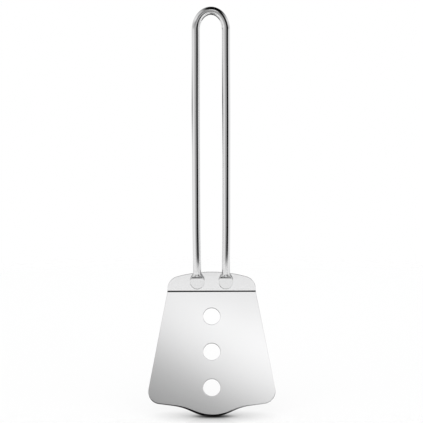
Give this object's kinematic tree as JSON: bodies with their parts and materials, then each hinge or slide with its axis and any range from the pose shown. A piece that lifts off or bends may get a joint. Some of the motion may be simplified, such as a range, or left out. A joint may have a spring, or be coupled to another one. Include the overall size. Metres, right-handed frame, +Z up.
{
  "type": "kitchen turner",
  "caption": "Steel kitchen turner with a long hairpin rod handle, and a bent sheet blade with round drain holes, rounded corners and a curved leading edge.",
  "frame": {"origin": "top of the gap inside the hanging loop, on the centre plane of the rod, where a hook bears", "axes": "+Z up along the hanging handle, -Y the way the lifting face of the blade looks, +X to the right as seen from the front"},
  "size_m": [0.092, 0.0387, 0.2922],
  "materials": {
    "polished_rod": "polished stainless steel rod",
    "satin_sheet": "fine satin stainless steel sheet",
    "weld_metal": "bare fused steel"
  },
  "bodies": {
    "root": {"handle": "polished_rod", "blade": "satin_sheet", "weld_left": "weld_metal", "weld_right": "weld_metal"}
  },
  "joints": []
}
